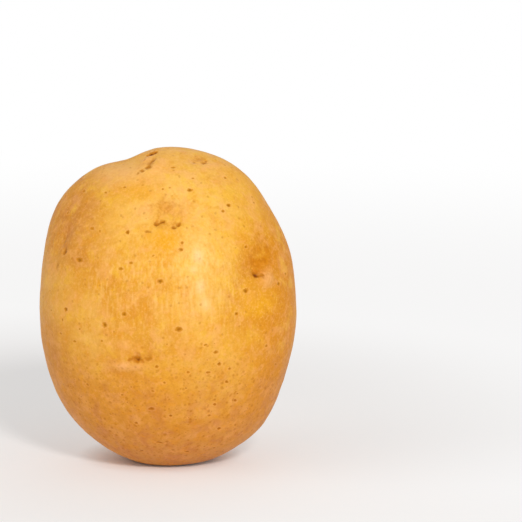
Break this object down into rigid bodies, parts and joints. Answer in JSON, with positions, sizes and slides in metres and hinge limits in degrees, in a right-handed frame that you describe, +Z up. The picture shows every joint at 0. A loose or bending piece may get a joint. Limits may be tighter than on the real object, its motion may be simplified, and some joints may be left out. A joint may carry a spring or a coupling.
{
  "type": "seed potato",
  "caption": "Oval seed potato tuber standing on the flattened tip of its heel end, with shallow eyes that crowd towards the rose end.",
  "frame": {"origin": "on the surface that the tuber stands on, under the middle of its bounding box", "axes": "+Z up from the heel end to the rose end, X along the tuber's width, Y along its thickness, with the broad face that has the shallow eyes towards -Y"},
  "size_m": [0.055, 0.0484, 0.0681],
  "materials": {
    "skin": null
  },
  "bodies": {
    "root": {"tuber": "skin"}
  },
  "joints": []
}
